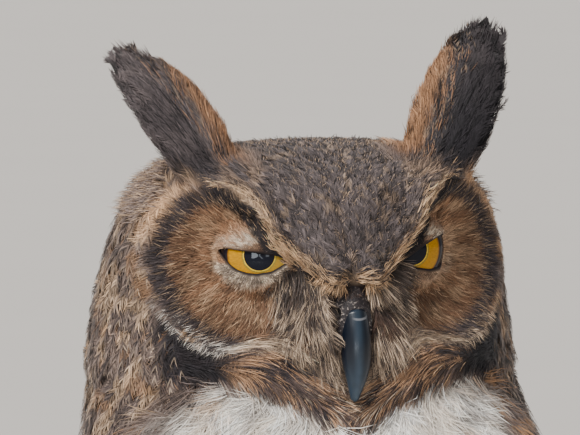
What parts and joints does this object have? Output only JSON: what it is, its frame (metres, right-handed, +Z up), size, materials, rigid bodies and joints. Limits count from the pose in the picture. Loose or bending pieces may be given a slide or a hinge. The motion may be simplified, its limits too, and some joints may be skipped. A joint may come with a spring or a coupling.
{
  "type": "great horned owl figure",
  "caption": "Life-size great horned owl standing upright on both feathered feet, wings folded, ear tufts raised, head turned a little to its left.",
  "frame": {"origin": "bottom centre of the bounding box, on the level of the soles", "axes": "+Z up along the standing bird, the breast faces -Y, the bird's left side is at +X"},
  "size_m": [0.2114, 0.2142, 0.4988],
  "materials": {
    "plumage": "mottled grey-brown feathers, matt",
    "crown": "dark grey-brown feathers with fine black marks, matt",
    "rufous": "orange-brown fine face feathers, matt",
    "white": "white downy feathers, matt",
    "barred": "buff feathers barred dark brown, matt",
    "wing": "brown flight feathers with dark bars, matt",
    "tuft": "blackish feathers edged orange-brown, matt",
    "leg": "short buff feathers, matt",
    "horn": "blue-black horn, glossy",
    "cere": "dark wrinkled bare skin",
    "eye": "golden yellow, wet gloss"
  },
  "bodies": {
    "root": {"bill_lower": "horn", "bill_upper": "horn", "cere": "cere", "claw_left_hind": "horn", "claw_left_inner": "horn", "claw_left_middle": "horn", "claw_left_outer": "horn", "claw_right_hind": "horn", "claw_right_inner": "horn", "claw_right_middle": "horn", "claw_right_outer": "horn", "eye_left": "eye", "eye_right": "eye", "facial_disc_left": "rufous", "facial_disc_right": "rufous", "foot_left": "leg", "foot_right": "leg", "head": "crown", "neck": "plumage", "tail": "wing", "tarsus_left": "leg", "tarsus_right": "leg", "thigh_left": "leg", "thigh_right": "leg", "throat_bib": "white", "trunk": "barred", "tuft_left": "tuft", "tuft_right": "tuft", "wing_left_coverts": "wing", "wing_left_primaries": "wing", "wing_left_secondaries": "wing", "wing_right_coverts": "wing", "wing_right_primaries": "wing", "wing_right_secondaries": "wing"}
  },
  "joints": []
}
